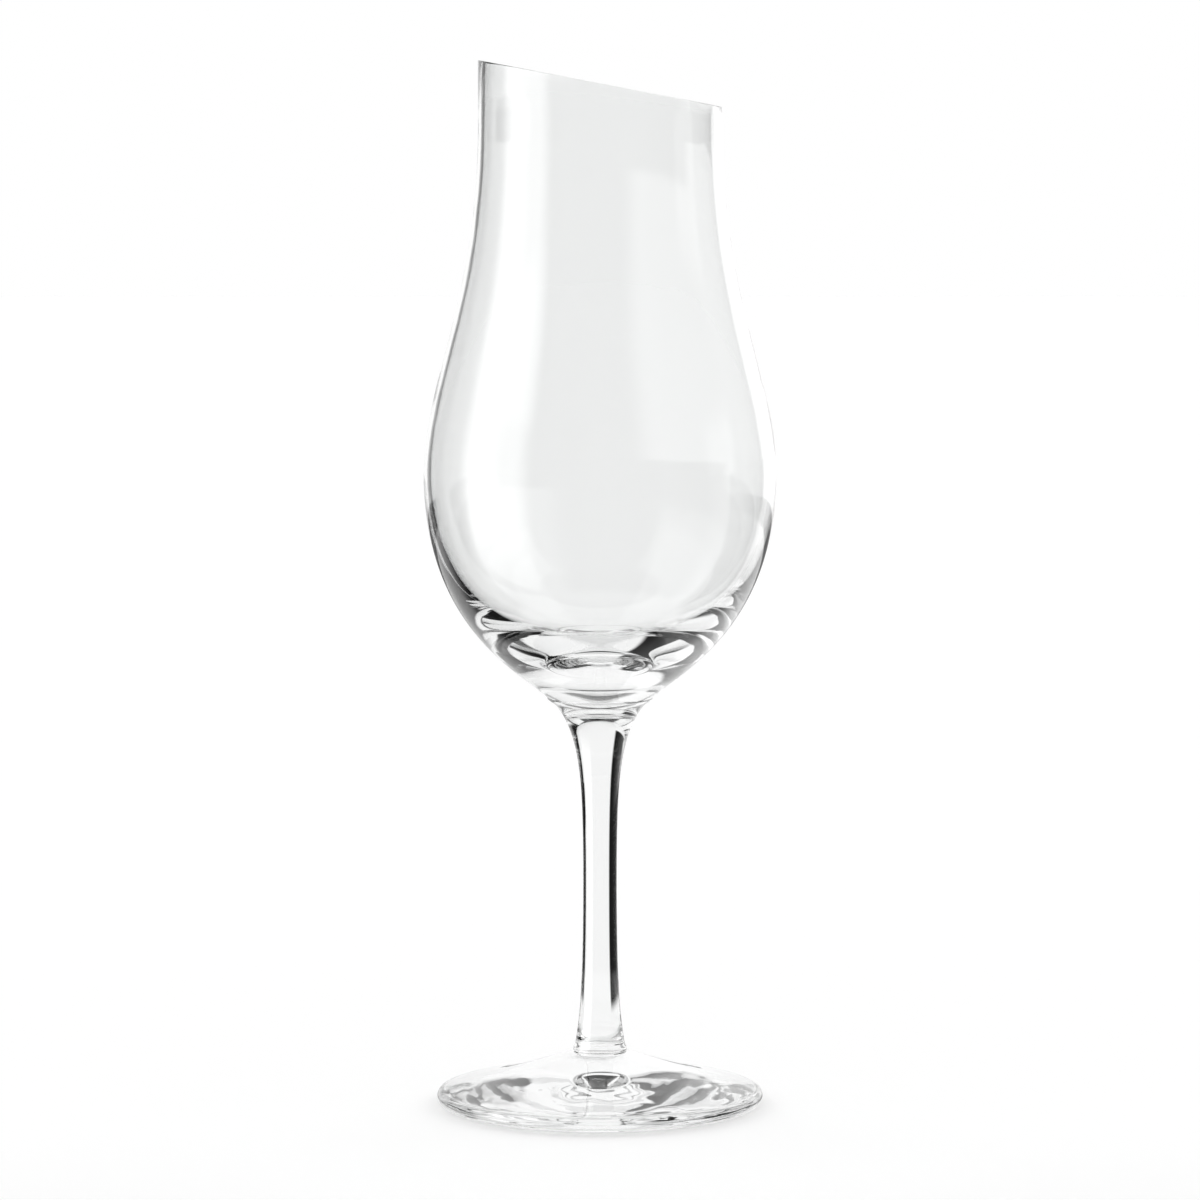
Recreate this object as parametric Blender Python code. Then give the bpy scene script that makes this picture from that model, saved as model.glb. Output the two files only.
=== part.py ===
# Stemmed spirits glass with a slanted rim: bowl, stem and foot, fused through two thin wafers of glass.
# Metres, +Z up. The foot stands on z = 0, Z is the glass's axis, and the rim is high towards -Y.
import math

import bmesh
import bpy
from mathutils import Matrix

# Foot
FOOT_R = 0.0321
FOOT_H = 0.0102
FOOT_EDGE = 0.0029
FOOT_BOSS_R = 0.0055
FOOT_SLOPE_AT_BOSS = 0.342
FOOT_SLOPE_AT_EDGE = 0.154
STAND_RING_W = 0.0045
FOOT_HOLLOW = 0.0025

# Wafers that join the stem to the foot and to the bowl
FOOT_WAFER_R = 0.0052
FOOT_WAFER_H = 0.0011
BOWL_WAFER_H = 0.0011
WAFER_BEAD = 0.00025
JOINT_GAP = 0.0003

# Stem
STEM_L = 0.0669
STEM_WAIST_R = 0.0032
STEM_HEAD_R = 0.0085
STEM_HEAD_FLARE = 0.0070
STEM_END_R = 0.00485
STEM_END_FLARE = 0.0094

# Bowl, with its heights measured from its own base
BOWL_H = 0.1199
BOWL_BASE_R = 0.0103
BOWL_BASE_RISE = math.radians(47)
BELLY_R = 0.0345
BELLY_H = 0.0440
MOUTH_R = 0.0237
RIM_TILT = math.radians(10.8)
NECK_STRAIGHT = 0.0020
WALL = 0.0014
RIM_WALL = 0.0012
RIM_ROUND = 0.0002
BOWL_FLOOR = 0.0087

# How far each curve keeps its end direction, as a share of the height or radius that it spans
EVEN_PULL = 1 / 3
HOLLOW_LIFT = 0.25
BASE_PULL = 0.135
BELLY_PULL_DOWN = 0.70
BELLY_PULL_UP = 0.265
NECK_PULL = 0.52
CAVITY_FLOOR_PULL = 0.93
CAVITY_WALL_PULL = 0.23

# Facets
SIDES = 56
CURVE_STEPS = 10
STEM_STEPS = 20
EDGE_STEPS = 6
RIM_STEPS = 2
SHARP_EDGE = math.radians(40)
WELD_DISTANCE = 1e-6

GLASS_COLOUR = (0.95, 0.965, 0.96, 1.0)
GLASS_ROUGHNESS = 0.02
GLASS_IOR = 1.5


def bezier(start, start_pull, end_pull, end, steps):
    """Points (radius, height) along a cubic curve, from its ends and the two points that pull it."""
    points = []
    for i in range(steps + 1):
        t = i / steps
        weights = ((1 - t) ** 3, 3 * t * (1 - t) ** 2, 3 * t * t * (1 - t), t ** 3)
        corners = (start, start_pull, end_pull, end)
        radius = sum(w * c[0] for w, c in zip(weights, corners))
        height = sum(w * c[1] for w, c in zip(weights, corners))
        points.append((radius, height))
    return points


def arc(centre_r, centre_h, bend_r, start, end, steps):
    """Points (radius, height) round part of a circle, from one angle to another."""
    points = []
    for i in range(steps + 1):
        angle = start + (end - start) * i / steps
        points.append((centre_r + bend_r * math.cos(angle), centre_h + bend_r * math.sin(angle)))
    return points


def spin_profile(profile):
    """Turn a line of (radius, height) points once round the Z axis."""
    bm = bmesh.new()
    verts = [bm.verts.new((radius, 0.0, height)) for radius, height in profile]
    edges = [bm.edges.new(pair) for pair in zip(verts, verts[1:])]
    bmesh.ops.spin(
        bm,
        geom=verts + edges,
        cent=(0.0, 0.0, 0.0),
        axis=(0.0, 0.0, 1.0),
        angle=2 * math.pi,
        steps=SIDES,
        use_merge=True,
    )
    bmesh.ops.remove_doubles(bm, verts=bm.verts, dist=WELD_DISTANCE)
    return bm


def glass_material(name):
    """Clear, polished glass."""
    material = bpy.data.materials.new(name)
    material.use_nodes = True
    shader = material.node_tree.nodes["Principled BSDF"]
    shader.inputs["Base Color"].default_value = GLASS_COLOUR
    shader.inputs["Roughness"].default_value = GLASS_ROUGHNESS
    shader.inputs["Metallic"].default_value = 0.0
    shader.inputs["IOR"].default_value = GLASS_IOR
    shader.inputs["Transmission Weight"].default_value = 1.0
    return material


def add_piece(name, bm, height, parent):
    """Make the object of one piece, its own z = 0 standing at the given height."""
    bmesh.ops.recalc_face_normals(bm, faces=bm.faces)
    mesh = bpy.data.meshes.new(name)
    bm.to_mesh(mesh)
    bm.free()
    mesh.shade_smooth()
    mesh.set_sharp_from_angle(angle=SHARP_EDGE)
    mesh.materials.append(glass_material(name + "_glass"))
    piece = bpy.data.objects.new(name, mesh)
    piece.location = (0.0, 0.0, height)
    piece.parent = parent
    bpy.context.scene.collection.objects.link(piece)


def foot_shape():
    """A low cone with a round edge, a flat ring to stand on and a shallow hollow under it."""
    half_edge = FOOT_EDGE / 2
    shoulder_r = FOOT_R - half_edge
    pull = EVEN_PULL * (shoulder_r - FOOT_BOSS_R)
    top = bezier(
        (FOOT_BOSS_R, FOOT_H),
        (FOOT_BOSS_R + pull, FOOT_H - pull * FOOT_SLOPE_AT_BOSS),
        (shoulder_r - pull, FOOT_EDGE + pull * FOOT_SLOPE_AT_EDGE),
        (shoulder_r, FOOT_EDGE),
        CURVE_STEPS,
    )
    edge = arc(shoulder_r, half_edge, half_edge, math.pi / 2, -math.pi / 2, EDGE_STEPS)
    ring_r = shoulder_r - STAND_RING_W
    hollow = bezier(
        (ring_r, 0.0),
        (ring_r - EVEN_PULL * ring_r, HOLLOW_LIFT * FOOT_HOLLOW),
        (EVEN_PULL * ring_r, FOOT_HOLLOW),
        (0.0, FOOT_HOLLOW),
        CURVE_STEPS,
    )
    return spin_profile([(0.0, FOOT_H)] + top + edge[1:] + hollow)


def wafer_shape(lower_r, upper_r, thickness):
    """A thin disc whose edge bulges a little between the two pieces that it joins."""
    edge = bezier(
        (lower_r, 0.0),
        (lower_r + WAFER_BEAD, EVEN_PULL * thickness),
        (upper_r + WAFER_BEAD, thickness - EVEN_PULL * thickness),
        (upper_r, thickness),
        EDGE_STEPS,
    )
    return spin_profile([(0.0, 0.0)] + edge + [(0.0, thickness)])


def stem_shape():
    """A drawn rod, thin at its waist, that widens towards both ends along exponential horns."""
    side = []
    for i in range(STEM_STEPS + 1):
        height = STEM_L * (1 - math.cos(math.pi * i / STEM_STEPS)) / 2
        head = (STEM_HEAD_R - STEM_WAIST_R) * math.exp((height - STEM_L) / STEM_HEAD_FLARE)
        end = (STEM_END_R - STEM_WAIST_R) * math.exp(-height / STEM_END_FLARE)
        side.append((STEM_WAIST_R + head + end, height))
    return spin_profile([(0.0, 0.0)] + side + [(0.0, STEM_L)])


def bowl_wall(belly_r, mouth_r, neck_h):
    """The curve from the belly up to the straight neck."""
    return bezier(
        (belly_r, BELLY_H),
        (belly_r, BELLY_H + BELLY_PULL_UP * (neck_h - BELLY_H)),
        (mouth_r, neck_h - NECK_PULL * (neck_h - BELLY_H)),
        (mouth_r, neck_h),
        CURVE_STEPS,
    )


def bowl_shape():
    """Cavity, rim and outside in one turned line, with the rim slid along the neck to its slant."""
    rim_low_h = BOWL_H - MOUTH_R * math.tan(RIM_TILT)
    neck_h = rim_low_h - NECK_STRAIGHT
    cavity_r = BELLY_R - WALL
    cavity_mouth_r = MOUTH_R - RIM_WALL
    base_pull = BASE_PULL * BELLY_H
    cavity = bezier(
        (0.0, BOWL_FLOOR),
        (cavity_r * CAVITY_FLOOR_PULL, BOWL_FLOOR),
        (cavity_r, BELLY_H - CAVITY_WALL_PULL * (BELLY_H - BOWL_FLOOR)),
        (cavity_r, BELLY_H),
        CURVE_STEPS,
    )
    inner_wall = bowl_wall(cavity_r, cavity_mouth_r, neck_h)
    round_h = BOWL_H - RIM_ROUND
    rim_inside = arc(cavity_mouth_r + RIM_ROUND, round_h, RIM_ROUND, math.pi, math.pi / 2, RIM_STEPS)
    rim_outside = arc(MOUTH_R - RIM_ROUND, round_h, RIM_ROUND, math.pi / 2, 0.0, RIM_STEPS)
    outer_wall = bowl_wall(BELLY_R, MOUTH_R, neck_h)
    outside = bezier(
        (BELLY_R, BELLY_H),
        (BELLY_R, BELLY_H - BELLY_PULL_DOWN * BELLY_H),
        (BOWL_BASE_R + base_pull * math.cos(BOWL_BASE_RISE), base_pull * math.sin(BOWL_BASE_RISE)),
        (BOWL_BASE_R, 0.0),
        CURVE_STEPS,
    )
    inside_line = cavity + inner_wall[1:] + rim_inside
    outside_line = rim_outside + outer_wall[::-1] + outside[1:] + [(0.0, 0.0)]
    bm = spin_profile(inside_line + outside_line)
    slant = Matrix.Identity(4)
    slant[2][1] = -math.tan(RIM_TILT)
    rim_verts = [vert for vert in bm.verts if vert.co.z > rim_low_h]
    bmesh.ops.transform(bm, matrix=slant, verts=rim_verts)
    return bm


for existing in list(bpy.data.objects):
    bpy.data.objects.remove(existing, do_unlink=True)

glass = bpy.data.objects.new("spirits_glass", None)
bpy.context.scene.collection.objects.link(glass)

foot_wafer_z = FOOT_H + JOINT_GAP
stem_z = foot_wafer_z + FOOT_WAFER_H + JOINT_GAP
bowl_wafer_z = stem_z + STEM_L + JOINT_GAP
bowl_z = bowl_wafer_z + BOWL_WAFER_H + JOINT_GAP

add_piece("foot", foot_shape(), 0.0, glass)
add_piece("foot_wafer", wafer_shape(FOOT_WAFER_R, STEM_END_R, FOOT_WAFER_H), foot_wafer_z, glass)
add_piece("stem", stem_shape(), stem_z, glass)
add_piece("bowl_wafer", wafer_shape(STEM_HEAD_R, BOWL_BASE_R, BOWL_WAFER_H), bowl_wafer_z, glass)
add_piece("bowl", bowl_shape(), bowl_z, glass)
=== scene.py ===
import math

import bpy
import numpy as np
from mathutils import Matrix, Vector


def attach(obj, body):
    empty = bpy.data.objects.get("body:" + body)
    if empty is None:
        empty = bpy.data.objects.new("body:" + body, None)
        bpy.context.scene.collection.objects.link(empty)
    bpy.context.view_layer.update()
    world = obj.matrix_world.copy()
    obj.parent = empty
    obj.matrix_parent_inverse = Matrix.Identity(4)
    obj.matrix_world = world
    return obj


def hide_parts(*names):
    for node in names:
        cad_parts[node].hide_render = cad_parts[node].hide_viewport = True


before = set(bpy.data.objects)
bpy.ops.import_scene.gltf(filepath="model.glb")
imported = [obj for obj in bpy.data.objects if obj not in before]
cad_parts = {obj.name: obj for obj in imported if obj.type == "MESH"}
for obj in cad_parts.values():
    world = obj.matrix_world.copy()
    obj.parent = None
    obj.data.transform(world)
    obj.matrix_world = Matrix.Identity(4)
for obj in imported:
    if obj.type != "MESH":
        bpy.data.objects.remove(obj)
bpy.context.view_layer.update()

# Bowl: one gather of clear glass, blown into a tulip with a thin wall and left thick and solid at its base.
# Its rim is cut on a slant and melted round, and its base is fused to a wafer of glass on the stem's head.
BOWL_Z = 0.0805
BOWL_H = 0.1199
BOWL_BASE_R = 0.0103
BOWL_BASE_RISE = math.radians(47)
BELLY_R = 0.0345
BELLY_H = 0.0440
MOUTH_R = 0.0237
RIM_SLOPE = math.tan(math.radians(10.8))
NECK_STRAIGHT = 0.0020
WALL = 0.0014
RIM_WALL = 0.0012
RIM_ROUND = 0.0002
BOWL_FLOOR = 0.0087
BASE_PULL = 0.135
BELLY_PULL_DOWN = 0.70
BELLY_PULL_UP = 0.265
NECK_PULL = 0.52
CAVITY_FLOOR_PULL = 0.93
CAVITY_WALL_PULL = 0.23
BOWL_SIDES = 320
BOWL_STEPS = 56
RIM_STEPS = 9
SHARP_EDGE = math.radians(35)
SAME_HEIGHT = 1e-6
GLASS_TINT = (0.985, 0.99, 0.988, 1.0)
GLASS_IOR = 1.5
RIPPLES_PER_METRE = 120.0
RIPPLE_DETAIL = 1.0
FAINT_RIPPLE = 0.00002


def curve(start, start_pull, end_pull, end, steps):
    """Rows of (radius, height): the cubic curve between two ends, bent towards two pulling points."""
    t = np.linspace(0.0, 1.0, steps + 1)[:, None]
    corners = [np.array(corner) for corner in (start, start_pull, end_pull, end)]
    weights = ((1 - t) ** 3, 3 * t * (1 - t) ** 2, 3 * t ** 2 * (1 - t), t ** 3)
    return sum(weight * corner for weight, corner in zip(weights, corners))


def bend(centre_r, centre_h, radius, start, end, steps):
    """Rows of (radius, height) round part of a circle: centre plus radius times cosine and sine."""
    angle = np.linspace(start, end, steps + 1)
    return np.stack([centre_r + radius * np.cos(angle), centre_h + radius * np.sin(angle)], axis=1)


class Wire:
    """A socket of a node tree. Sums and products of wires add the Math nodes that work them out."""

    def __init__(self, tree, socket=None):
        self.tree = tree
        self.socket = socket

    def node(self, kind, settings, values, output=0):
        """Any node: its settings first, then the number, colour or wire on each named socket."""
        made = self.tree.nodes.new(kind)
        for name, setting in settings.items():
            setattr(made, name, setting)
        for name, value in values.items():
            if isinstance(value, Wire):
                self.tree.links.new(value.socket, made.inputs[name])
            else:
                made.inputs[name].default_value = value
        return Wire(self.tree, made.outputs[output] if made.outputs else None)

    def maths(self, operation, *values):
        return self.node("ShaderNodeMath", {"operation": operation}, dict(enumerate(values)))

    def step(self, low, high):
        """0 below low, 1 above high, and a smooth rise between them."""
        ends = {"Value": self, "From Min": low, "From Max": high}
        return self.node("ShaderNodeMapRange", {"interpolation_type": "SMOOTHSTEP"}, ends)

    def heading(self):
        """The compass heading of a place or a direction that a wire carries: degrees from +Y towards -X."""
        x = self.node("ShaderNodeSeparateXYZ", {}, {"Vector": self}, "X")
        y = self.node("ShaderNodeSeparateXYZ", {}, {"Vector": self}, "Y")
        return self.maths("DEGREES", self.maths("ARCTAN2", x * -1.0, y))

    def sector(self, centre, half, soft):
        """1 where a heading is within half of the centre and 0 away from it, with soft sides."""
        turn = self.maths("ABSOLUTE", self.maths("WRAP", self - centre, 180.0, -180.0))
        return 1.0 - turn.step(half - soft, half + soft)

    def __add__(self, other):
        return self.maths("ADD", self, other)

    def __sub__(self, other):
        return self.maths("SUBTRACT", self, other)

    def __rsub__(self, other):
        return self.maths("SUBTRACT", other, self)

    def __mul__(self, other):
        return self.maths("MULTIPLY", self, other)

    __radd__ = __add__
    __rmul__ = __mul__


def clear_glass(name, ripple_height):
    """Clear polished glass: all light goes through, bent as glass of this kind bends it. Its skin ripples
    very slightly, as it does on glass that is shaped hot by hand, which breaks up the lines seen in it."""
    material = bpy.data.materials.new(name)
    material.use_nodes = True
    tree = material.node_tree
    shader = tree.nodes["Principled BSDF"]
    shader.inputs["Base Color"].default_value = GLASS_TINT
    shader.inputs["Roughness"].default_value = 0.0
    shader.inputs["IOR"].default_value = GLASS_IOR
    shader.inputs["Transmission Weight"].default_value = 1.0
    start = Wire(tree)
    place = start.node("ShaderNodeTexCoord", {}, {}, "Object")
    waves = {"Vector": place, "Scale": RIPPLES_PER_METRE, "Detail": RIPPLE_DETAIL}
    ripple = start.node("ShaderNodeTexNoise", {}, waves)
    skin = start.node("ShaderNodeBump", {}, {"Height": ripple, "Strength": 1.0, "Distance": ripple_height})
    tree.links.new(skin.socket, shader.inputs["Normal"])
    return material


def fused_joint():
    """A face inside the glass where two pieces are melted into one, so nothing of it shows."""
    material = bpy.data.materials.new("fused_joint")
    material.use_nodes = True
    shader = material.node_tree.nodes["Principled BSDF"]
    shader.inputs["Base Color"].default_value = (1.0, 1.0, 1.0, 1.0)
    shader.inputs["Alpha"].default_value = 0.0
    return material


def turned_piece(name, node, line, sides, joint_rows, ripple_height, slant=None):
    """A closed turned piece. Its line runs from the upper point on its axis, out over it, to the lower one.
    The point at angle a on a row of the line is (r cos a, r sin a, h - slant y), with r, h and slant of that
    row. The rows of faces named as joints lie inside the fused glass."""
    angle = np.linspace(0.0, 2 * np.pi, sides, endpoint=False)
    rings = line[1:-1]
    rise = np.zeros(len(rings)) if slant is None else slant[1:-1]
    x = rings[:, :1] * np.cos(angle)
    y = rings[:, :1] * np.sin(angle)
    z = rings[:, 1:] - rise[:, None] * y
    first_pole = [[0.0, 0.0, line[0, 1]]]
    last_pole = [[0.0, 0.0, line[-1, 1]]]
    points = np.concatenate([first_pole, np.stack([x, y, z], axis=-1).reshape(-1, 3), last_pole])
    here = np.arange(sides)
    ahead = np.roll(here, -1)
    row = 1 + sides * np.arange(len(rings) - 1)[:, None]
    quads = np.stack([row + here, row + sides + here, row + sides + ahead, row + ahead], axis=-1)
    first = np.stack([np.zeros(sides, int), 1 + here, 1 + ahead], axis=-1)
    last_ring = len(points) - 1 - sides
    last = np.stack([last_ring + here, np.full(sides, len(points) - 1), last_ring + ahead], axis=-1)
    faces = first.tolist() + quads.reshape(-1, 4).tolist() + last.tolist()
    mesh = bpy.data.meshes.new(name)
    mesh.from_pydata(points.tolist(), [], faces)
    face_rows = np.repeat(np.arange(len(line) - 1), sides)
    is_joint = np.isin(face_rows, np.array(joint_rows) % (len(line) - 1))
    mesh.polygons.foreach_set("material_index", is_joint.astype(np.int32))
    mesh.polygons.foreach_set("use_smooth", np.ones(len(faces), bool))
    mesh.set_sharp_from_angle(angle=SHARP_EDGE)
    mesh.materials.append(clear_glass(name, ripple_height))
    mesh.materials.append(fused)
    piece = bpy.data.objects.new(name, mesh)
    bpy.context.scene.collection.objects.link(piece)
    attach(piece, "root")
    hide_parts(node)


def bowl_wall(belly_r, mouth_r, neck_h):
    """The curve from the belly up to the straight neck."""
    climb = neck_h - BELLY_H
    return curve(
        (belly_r, BELLY_H),
        (belly_r, BELLY_H + BELLY_PULL_UP * climb),
        (mouth_r, neck_h - NECK_PULL * climb),
        (mouth_r, neck_h),
        BOWL_STEPS,
    )


fused = fused_joint()
neck_h = BOWL_H - MOUTH_R * RIM_SLOPE - NECK_STRAIGHT
round_h = BOWL_H - RIM_ROUND
cavity_r = BELLY_R - WALL
cavity_mouth_r = MOUTH_R - RIM_WALL
base_pull = BASE_PULL * BELLY_H
cavity = curve(
    (0.0, BOWL_FLOOR),
    (cavity_r * CAVITY_FLOOR_PULL, BOWL_FLOOR),
    (cavity_r, BELLY_H - CAVITY_WALL_PULL * (BELLY_H - BOWL_FLOOR)),
    (cavity_r, BELLY_H),
    BOWL_STEPS,
)
inner_wall = bowl_wall(cavity_r, cavity_mouth_r, neck_h)
rim_inside = bend(cavity_mouth_r + RIM_ROUND, round_h, RIM_ROUND, np.pi, np.pi / 2, RIM_STEPS)
rim_outside = bend(MOUTH_R - RIM_ROUND, round_h, RIM_ROUND, np.pi / 2, 0.0, RIM_STEPS)
outer_wall = bowl_wall(BELLY_R, MOUTH_R, neck_h)[::-1]
outside = curve(
    (BELLY_R, BELLY_H),
    (BELLY_R, BELLY_H - BELLY_PULL_DOWN * BELLY_H),
    (BOWL_BASE_R + base_pull * math.cos(BOWL_BASE_RISE), base_pull * math.sin(BOWL_BASE_RISE)),
    (BOWL_BASE_R, 0.0),
    BOWL_STEPS,
)
bowl_line = np.concatenate(
    [cavity, inner_wall[1:], rim_inside, rim_outside, outer_wall, outside[1:], [(0.0, 0.0)]]
)
bowl_slant = RIM_SLOPE * (bowl_line[:, 1] > neck_h + SAME_HEIGHT)
bowl_line[:, 1] += BOWL_Z
turned_piece("blown_bowl", "bowl", bowl_line, BOWL_SIDES, [-1], FAINT_RIPPLE, bowl_slant)

# Bowl wafer: the thin disc of hot glass that the bowl was stuck to the stem with.
# It melts into both, and only its slightly swollen edge can be seen, as fine rings.
BOWL_WAFER_LOW = 0.0788
STEM_HEAD_R = 0.0085
WAFER_BEAD = 0.00025
WAFER_SIDES = 256
WAFER_STEPS = 12
EVEN_PULL = 1 / 3


def wafer_line(lower_r, upper_r, low, high):
    """Across the top, down an edge that bulges a little, and back across the bottom to the axis."""
    pull = EVEN_PULL * (high - low)
    edge = curve(
        (upper_r, high),
        (upper_r + WAFER_BEAD, high - pull),
        (lower_r + WAFER_BEAD, low + pull),
        (lower_r, low),
        WAFER_STEPS,
    )
    return np.concatenate([[(0.0, high)], edge, [(0.0, low)]])


bowl_wafer_line = wafer_line(STEM_HEAD_R, BOWL_BASE_R, BOWL_WAFER_LOW, BOWL_Z)
turned_piece("bowl_wafer_ring", "bowl_wafer", bowl_wafer_line, WAFER_SIDES, [0, -1], FAINT_RIPPLE)

# Stem: a solid rod of clear glass drawn out thin by hand, so it swells towards both of its ends.
# Its head carries the bowl's wafer, and its end stands on the small collar of the foot.
STEM_Z = 0.0119
STEM_L = BOWL_WAFER_LOW - STEM_Z
STEM_WAIST_R = 0.0032
STEM_HEAD_FLARE = 0.0070
STEM_END_R = 0.00485
STEM_END_FLARE = 0.0094
STEM_SIDES = 192
STEM_STEPS = 120

stem_h = STEM_L * (1 + np.cos(np.linspace(0.0, np.pi, STEM_STEPS + 1))) / 2
stem_r = (
    STEM_WAIST_R
    + (STEM_HEAD_R - STEM_WAIST_R) * np.exp((stem_h - STEM_L) / STEM_HEAD_FLARE)
    + (STEM_END_R - STEM_WAIST_R) * np.exp(-stem_h / STEM_END_FLARE)
)
stem_side = np.stack([stem_r, STEM_Z + stem_h], axis=1)
stem_line = np.concatenate([[(0.0, stem_side[0, 1])], stem_side, [(0.0, stem_side[-1, 1])]])
turned_piece("drawn_stem", "stem", stem_line, STEM_SIDES, [0, -1], FAINT_RIPPLE)

# Foot wafer: the small collar of glass between the stem's end and the foot.
# It is melted into both and shows as fine rings at the bottom of the stem.
FOOT_H = 0.0102
FOOT_WAFER_R = 0.0052

foot_wafer_line = wafer_line(FOOT_WAFER_R, STEM_END_R, FOOT_H, STEM_Z)
turned_piece("foot_wafer_ring", "foot_wafer", foot_wafer_line, WAFER_SIDES, [0, -1], FAINT_RIPPLE)

# Foot: a disc pressed while hot into a low cone, with a round edge and a shallow hollow underneath.
# It stands on a narrow flat ring under its edge, and its skin is wavier than that of the blown bowl.
FOOT_R = 0.0321
FOOT_EDGE = 0.0029
FOOT_BOSS_R = 0.0055
FOOT_SLOPE_AT_BOSS = 0.342
FOOT_SLOPE_AT_EDGE = 0.154
STAND_RING_W = 0.0045
FOOT_HOLLOW = 0.0025
HOLLOW_LIFT = 0.25
FOOT_SIDES = 320
FOOT_STEPS = 48
FOOT_RIPPLE = 0.00015

half_edge = FOOT_EDGE / 2
shoulder_r = FOOT_R - half_edge
foot_pull = EVEN_PULL * (shoulder_r - FOOT_BOSS_R)
foot_top = curve(
    (FOOT_BOSS_R, FOOT_H),
    (FOOT_BOSS_R + foot_pull, FOOT_H - foot_pull * FOOT_SLOPE_AT_BOSS),
    (shoulder_r - foot_pull, FOOT_EDGE + foot_pull * FOOT_SLOPE_AT_EDGE),
    (shoulder_r, FOOT_EDGE),
    FOOT_STEPS,
)
foot_edge = bend(shoulder_r, half_edge, half_edge, np.pi / 2, -np.pi / 2, FOOT_STEPS)
ring_r = shoulder_r - STAND_RING_W
hollow_pull = EVEN_PULL * ring_r
hollow = curve(
    (ring_r, 0.0),
    (ring_r - hollow_pull, HOLLOW_LIFT * FOOT_HOLLOW),
    (hollow_pull, FOOT_HOLLOW),
    (0.0, FOOT_HOLLOW),
    FOOT_STEPS,
)
foot_line = np.concatenate([[(0.0, FOOT_H), (FOOT_WAFER_R, FOOT_H)], foot_top, foot_edge[1:], hollow])
turned_piece("pressed_foot", "foot", foot_line, FOOT_SIDES, [0], FOOT_RIPPLE)

# Table: plain pale paper that glows a little, so that it reads as white and still takes the glass's shadow.
# Seen only through the glass, some sectors of it are painted black where the camera sees white paper: painted
# dark that draws the dark edges of clear glass. Light that has passed more than two faces of glass misses the
# far painted sectors, so that the hollow bowl stays clear.
TABLE_HALF = 4.0
TABLE_DROP = 0.0002
TABLE_GLOW = 0.44
TABLE_PAPER = 0.57
# Painted dark: the black that rays through the glass see on the table, for the dark edges of the glass.
PAINTED_EDGE_BLACK = 0.01
PAINTED_DARK_FADE = (0.85, 1.15)
SOLID_GLASS_FACES = 2
# A painted dark sector, seen only through the glass, is the heading of its middle, half its width and the
# softness of its sides in degrees, and then the distance in metres at which it starts.
FAR_PAINTED_SECTORS = (
    (25.0, 19.0, 2.0, 0.07),
    (26.5, 20.5, 2.0, 0.55),
    (142.5, 29.5, 2.0, 0.07),
)
NEAR_PAINTED_SECTORS = (
    (206.0, 34.0, 6.0, 1.3),
    (295.5, 55.5, 10.0, 0.07),
)


def table_paper():
    """Matt paper with a glow of its own added to it, and painted black in its place where only rays through
    the glass see it, which paints the glass's dark edges.
    """
    material = bpy.data.materials.new("table_paper")
    material.use_nodes = True
    tree = material.node_tree
    tree.nodes.clear()
    start = Wire(tree)
    place = start.node("ShaderNodeTexCoord", {}, {}, "Object")
    heading = place.heading()
    away = start.node("ShaderNodeVectorMath", {"operation": "LENGTH"}, {0: place}, "Value")
    far_painted_mask, near_painted_mask = (
        sum(
            heading.sector(centre, half, soft) * away.step(near * PAINTED_DARK_FADE[0], near * PAINTED_DARK_FADE[1])
            for centre, half, soft, near in painted_set
        )
        for painted_set in (FAR_PAINTED_SECTORS, NEAR_PAINTED_SECTORS)
    )
    through_ray = start.node("ShaderNodeLightPath", {}, {}, "Is Transmission Ray")
    faces_passed = start.node("ShaderNodeLightPath", {}, {}, "Transmission Depth")
    hollow_glass = start.maths("GREATER_THAN", faces_passed, SOLID_GLASS_FACES + 0.5)
    # Painted dark mask: where rays through the glass see black in place of the white paper.
    painted_dark_mask = start.maths("MINIMUM", far_painted_mask * (1.0 - hollow_glass) + near_painted_mask, 1.0)
    light = start.node("ShaderNodeEmission", {}, {"Color": (1.0, 1.0, 1.0, 1.0), "Strength": TABLE_GLOW})
    matt = start.node("ShaderNodeBsdfDiffuse", {}, {"Color": (TABLE_PAPER, TABLE_PAPER, TABLE_PAPER, 1.0)})
    paper = start.node("ShaderNodeAddShader", {}, {0: light, 1: matt})
    painted_black = start.node("ShaderNodeBsdfDiffuse", {}, {"Color": (PAINTED_EDGE_BLACK, PAINTED_EDGE_BLACK, PAINTED_EDGE_BLACK, 1.0)})
    seen = start.node("ShaderNodeMixShader", {}, {0: painted_dark_mask * through_ray, 1: paper, 2: painted_black})
    start.node("ShaderNodeOutputMaterial", {}, {"Surface": seen})
    return material


table_corners = TABLE_HALF * np.array([(-1, -1), (1, -1), (1, 1), (-1, 1)])
table_points = np.column_stack([table_corners, np.full(4, -TABLE_DROP)])
table_mesh = bpy.data.meshes.new("table")
table_mesh.from_pydata(table_points.tolist(), [], [(0, 1, 2, 3)])
table_mesh.materials.append(table_paper())
table = bpy.data.objects.new("table", table_mesh)
table.visible_glossy = False
bpy.context.scene.collection.objects.link(table)

# Studio: white to the camera. Through the glass it is dark between lit parts of its walls, which draws the
# glass's edges. The glass mirrors a lit backdrop, a wall on the right and a tall soft light on the left.
# The table is lit by a broad window beyond the glass and by an even room.
NADIR = -90.0
LIT_TOP = 58.0
# A lit part is the heading of its middle, half its width and the softness of its sides, and then its low end,
# its top and the softness of both, all in degrees.
LIT_PARTS = (
    (79.0, 34.0, 2.0, NADIR, LIT_TOP, 0.6),
    (133.0, 90.0, 2.0, 24.0, LIT_TOP, 0.6),
    (185.0, 37.0, 4.0, 15.0, LIT_TOP, 4.0),
    (0.0, 30.0, 2.0, 26.0, LIT_TOP, 0.6),
    (-1.0, 12.0, 4.0, NADIR, 12.0, 4.0),
)
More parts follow.
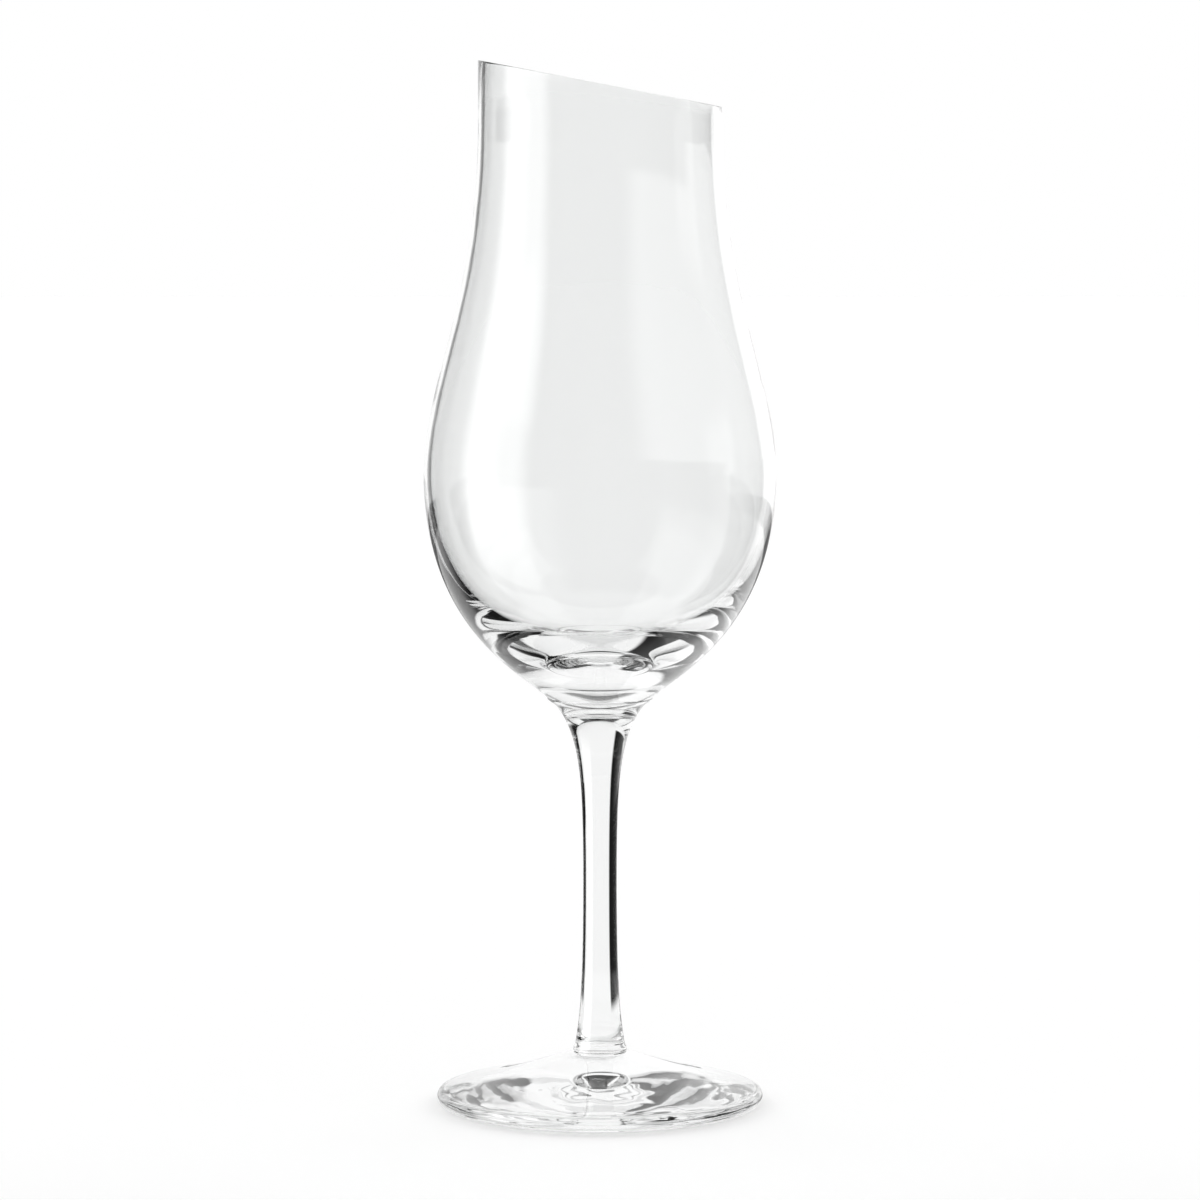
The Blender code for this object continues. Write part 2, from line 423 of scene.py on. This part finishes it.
# The pairs and triples below are a height and its softness, or a heading, half a width and its softness.
SOFT_LIGHT = (195.0, 24.0, 8.0)
SOFT_LIGHT_LOW = (-30.0, 18.0)
SOFT_LIGHT_TOP = (50.0, 12.0)
SOFT_LIGHT_STRENGTH = 3.5
REFLECTED_BACKDROP = (90.0, 45.0, 8.0)
REFLECTED_TOP = (58.0, 6.0)
RIGHT_WALL = (40.0, 30.0, 25.0)
RIGHT_WALL_GLOW = 0.9
BAND_LOW = (-10.6, 0.5)
BAND_TOP = (-6.7, 0.3)
BAND_DEPTH = 0.8
ROOM_DARK = 0.01
WINDOW = (90.0, 60.0, 20.0)
WINDOW_LOW = (12.0, 5.0)
WINDOW_TOP = (40.0, 5.0)
WINDOW_STRENGTH = 4.0
ROOM_LIGHT = 0.5

world = bpy.data.worlds.new("studio")
bpy.context.scene.world = world
world.use_nodes = True
world.node_tree.nodes.clear()
wire = Wire(world.node_tree)
outlook = wire.node("ShaderNodeTexCoord", {}, {}, "Generated")
heading = outlook.heading()
up = wire.node("ShaderNodeSeparateXYZ", {}, {"Vector": outlook}, "Z")
rise = wire.maths("DEGREES", wire.maths("ARCSINE", up))


def above(height, soft):
    """0 below a height over the horizon and 1 above it, in degrees, with a soft edge."""
    return rise.step(height - soft, height + soft)


lit = sum(
    heading.sector(centre, half, side_soft) * above(low, end_soft) * (1.0 - above(top, end_soft))
    for centre, half, side_soft, low, top, end_soft in LIT_PARTS
)
seen_through = wire.maths("MINIMUM", lit + ROOM_DARK, 1.0)
soft_light = heading.sector(*SOFT_LIGHT) * above(*SOFT_LIGHT_LOW) * (1.0 - above(*SOFT_LIGHT_TOP))
reflected_backdrop = heading.sector(*REFLECTED_BACKDROP) * (1.0 - above(*REFLECTED_TOP))
right_wall = heading.sector(*RIGHT_WALL) * RIGHT_WALL_GLOW
dark_band = above(*BAND_LOW) * (1.0 - above(*BAND_TOP)) * BAND_DEPTH
reflected_walls = (reflected_backdrop + right_wall) * (1.0 - dark_band)
reflected = reflected_walls + soft_light * SOFT_LIGHT_STRENGTH + ROOM_DARK
camera_ray = wire.node("ShaderNodeLightPath", {}, {}, "Is Camera Ray")
through_ray = wire.node("ShaderNodeLightPath", {}, {}, "Is Transmission Ray")
mirror_ray = wire.node("ShaderNodeLightPath", {}, {}, "Is Glossy Ray")
paper_ray = wire.maths("MINIMUM", wire.node("ShaderNodeLightPath", {}, {}, "Diffuse Depth"), 1.0)
window = heading.sector(*WINDOW) * above(*WINDOW_LOW) * (1.0 - above(*WINDOW_TOP))
daylight = window * WINDOW_STRENGTH + ROOM_LIGHT
glow = daylight + mirror_ray * (reflected - daylight)
glow = glow + through_ray * (seen_through - glow)
glow = glow + paper_ray * (daylight - glow)
glow = glow + camera_ray * (1.0 - glow)
backdrop = wire.node("ShaderNodeBackground", {}, {"Color": (1.0, 1.0, 1.0, 1.0), "Strength": glow})
wire.node("ShaderNodeOutputWorld", {}, {"Surface": backdrop})

# Camera: level with the top of the bowl, looking slightly down along -X with a long lens.
# Light that is led along inside the thick glass needs many bounces before it comes out.
CAMERA_AT = Vector((1.040, 0.0, 0.2006))
CAMERA_AIM = Vector((0.0, 0.0, 0.09965))
CAMERA_LENS = 160.0
CAMERA_SENSOR = 36.0
GLASS_BOUNCES = 64
JOINT_BOUNCES = 24

scene = bpy.context.scene
camera_data = bpy.data.cameras.new("camera")
camera_data.lens = CAMERA_LENS
camera_data.sensor_width = CAMERA_SENSOR
camera = bpy.data.objects.new("camera", camera_data)
camera.location = CAMERA_AT
camera.rotation_euler = (CAMERA_AIM - CAMERA_AT).to_track_quat("-Z", "Y").to_euler()
scene.collection.objects.link(camera)
scene.camera = camera
scene.view_settings.view_transform = "Standard"
scene.cycles.max_bounces = GLASS_BOUNCES
scene.cycles.transmission_bounces = GLASS_BOUNCES
scene.cycles.glossy_bounces = GLASS_BOUNCES
scene.cycles.transparent_max_bounces = JOINT_BOUNCES
